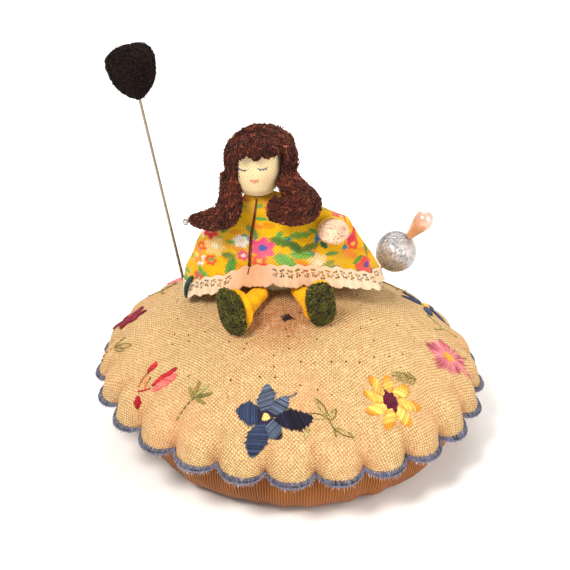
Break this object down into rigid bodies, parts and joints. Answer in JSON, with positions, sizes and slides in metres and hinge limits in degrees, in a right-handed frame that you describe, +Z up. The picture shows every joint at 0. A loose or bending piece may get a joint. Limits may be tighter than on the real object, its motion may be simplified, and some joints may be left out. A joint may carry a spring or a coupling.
{
  "type": "pin cushion",
  "caption": "Round stuffed pin cushion with a scalloped embroidered cover, a seated cloth doll on top and decorated pins standing in it.",
  "frame": {"origin": "on the table under the middle of the cushion", "axes": "+Z up, -Y the way the doll faces, +X the doll's left"},
  "size_m": [0.1246, 0.1246, 0.1278],
  "materials": {
    "base_cloth": "ribbed cloth",
    "stuffing": "loose wool",
    "top_linen": "plain weave linen",
    "edging_thread": "blanket stitch thread",
    "dark_red_thread": "satin stitch",
    "coral_thread": "satin stitch",
    "olive_thread": "stem stitch",
    "blue_thread": "satin stitch",
    "green_thread": "outline stitch",
    "yellow_thread": "satin stitch",
    "pink_thread": "straight stitch",
    "rose_thread": "satin stitch",
    "leaf_thread": "straight stitch",
    "dark_thread": "knotted thread",
    "doll_cloth": "plain cotton",
    "dress_print": "printed cotton",
    "piping": "folded edge",
    "lace": "cotton lace",
    "lining": "plain cotton",
    "hand_wool": "wound wool",
    "leg_felt": "felt",
    "sole_pile": "looped pile",
    "eye_thread": "straight stitch",
    "mouth_thread": "straight stitch",
    "hair": "looped wool",
    "pin_steel": "polished",
    "clear_bead": "clear",
    "head_felt": "wrapped felt",
    "grey_pearl": "pearly",
    "peach_pearl": "pearly"
  },
  "bodies": {
    "cushion": {"base_cover": "base_cloth", "stuffing": "stuffing", "top_cover": "top_linen", "scallop_edging": "edging_thread", "red_flower": "dark_red_thread", "coral_flower": "coral_thread", "olive_sprig": "olive_thread", "blue_flower": "blue_thread", "green_sprig": "green_thread", "yellow_daisy": "yellow_thread", "pink_daisy": "pink_thread", "back_flowers": "rose_thread", "back_leaves": "leaf_thread", "tie_knot": "dark_thread", "torso": "doll_cloth", "neck_peg": "doll_cloth", "dress": "dress_print", "front_piping": "piping", "lace_trim": "lace", "sleeve_lining": "lining"},
    "head": {"head": "doll_cloth", "eyes": "eye_thread", "mouth": "mouth_thread", "hair_cap": "hair", "fringe": "hair", "left_pigtail": "hair", "right_pigtail": "hair"},
    "hair_pin": {"hair_pin_shaft": "pin_steel", "hair_pin_bead": "clear_bead"},
    "left_arm": {"left_sleeve": "dress_print", "left_hand": "hand_wool"},
    "left_leg": {"left_leg": "leg_felt", "left_sole": "sole_pile"},
    "right_leg": {"right_leg": "leg_felt", "right_sole": "sole_pile"},
    "hatpin": {"hatpin_shaft": "pin_steel", "hatpin_head": "head_felt"},
    "pearl_pin": {"pearl_pin_shaft": "pin_steel", "round_pearl": "grey_pearl", "drop_pearl": "peach_pearl"}
  },
  "joints": [
    {"name": "head_turn", "type": "hinge", "parent": "cushion", "child": "head", "pos_m": [-0.0105, 0.004, 0.084], "axis": [0, 0, 1], "range_deg": [-18, 3]},
    {"name": "hair_pin_slide", "type": "slide", "parent": "head", "child": "hair_pin", "axis": [-0.9059, 0.3461, -0.2443], "range_m": [-0.0004, 0.011]},
    {"name": "left_arm_lift", "type": "hinge", "parent": "cushion", "child": "left_arm", "pos_m": [0.013, 0.0045, 0.0705], "axis": [-1, 0, 0], "range_deg": [-15, 15]},
    {"name": "left_leg_swing", "type": "hinge", "parent": "cushion", "child": "left_leg", "pos_m": [0.002, -0.0015, 0.0526], "axis": [0, 0, 1], "range_deg": [-8, 10]},
    {"name": "right_leg_swing", "type": "hinge", "parent": "cushion", "child": "right_leg", "pos_m": [-0.0085, -0.002, 0.0521], "axis": [0, 0, 1], "range_deg": [-10, 6]},
    {"name": "hatpin_slide", "type": "slide", "parent": "cushion", "child": "hatpin", "axis": [-0.1788, 0, 0.9839], "range_m": [-0.008, 0.035]},
    {"name": "pearl_pin_slide", "type": "slide", "parent": "cushion", "child": "pearl_pin", "axis": [0.5962, 0, 0.8028], "range_m": [-0.004, 0.033]}
  ]
}
